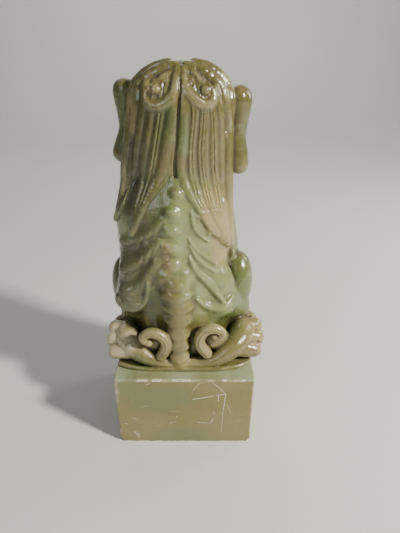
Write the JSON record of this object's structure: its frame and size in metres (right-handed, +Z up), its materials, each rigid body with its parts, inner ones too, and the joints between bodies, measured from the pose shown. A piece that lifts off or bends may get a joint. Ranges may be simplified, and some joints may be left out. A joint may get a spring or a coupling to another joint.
{
  "type": "foo dog statue",
  "caption": "Polished green and beige stone guardian lion seated on a plain block plinth, with long combed hair, hanging ears and a loose pearl held in its open mouth.",
  "frame": {"origin": "centre of the plinth's footprint, on its underside", "axes": "+Z up, the lion faces -Y, +X is the lion's left"},
  "size_m": [0.1326, 0.098, 0.3],
  "materials": {
    "plinth_stone": "ground flat and left matt, with scratches and chipped edges",
    "olive_stone": "carved and polished, olive-beige with green and brown clouding",
    "green_stone": "carved and polished, mostly green",
    "pale_stone": "carved and polished, paler cream and pink-beige"
  },
  "bodies": {
    "carving": {"plinth": "plinth_stone", "figure_base": "olive_stone", "torso": "olive_stone", "spine_ridge": "green_stone", "tail": "pale_stone", "left_haunch": "olive_stone", "right_haunch": "olive_stone", "left_hind_foot": "pale_stone", "right_hind_foot": "pale_stone", "left_tail_curl": "pale_stone", "right_tail_curl": "pale_stone", "left_ribs": "green_stone", "right_ribs": "green_stone", "left_foreleg": "olive_stone", "right_foreleg": "olive_stone", "left_front_paw": "pale_stone", "right_front_paw": "pale_stone", "brocade_ball": "green_stone", "collar": "pale_stone", "bell": "pale_stone", "head": "olive_stone", "muzzle": "olive_stone", "lower_jaw": "olive_stone", "upper_teeth": "pale_stone", "lower_teeth": "pale_stone", "tongue": "olive_stone", "left_eye": "olive_stone", "right_eye": "olive_stone", "left_brow": "olive_stone", "right_brow": "olive_stone", "nose": "olive_stone", "left_ear": "olive_stone", "right_ear": "green_stone", "left_mane": "green_stone", "right_mane": "green_stone", "left_crown_curl": "olive_stone", "right_crown_curl": "olive_stone", "left_cheek_curl": "olive_stone", "right_cheek_curl": "olive_stone", "beard": "olive_stone"},
    "pearl": {"pearl": "pale_stone"}
  },
  "joints": [
    {"name": "pearl_roll", "type": "hinge", "parent": "carving", "child": "pearl", "pos_m": [0, -0.031, 0.238], "axis": [1, 0, 0], "continuous": true}
  ]
}
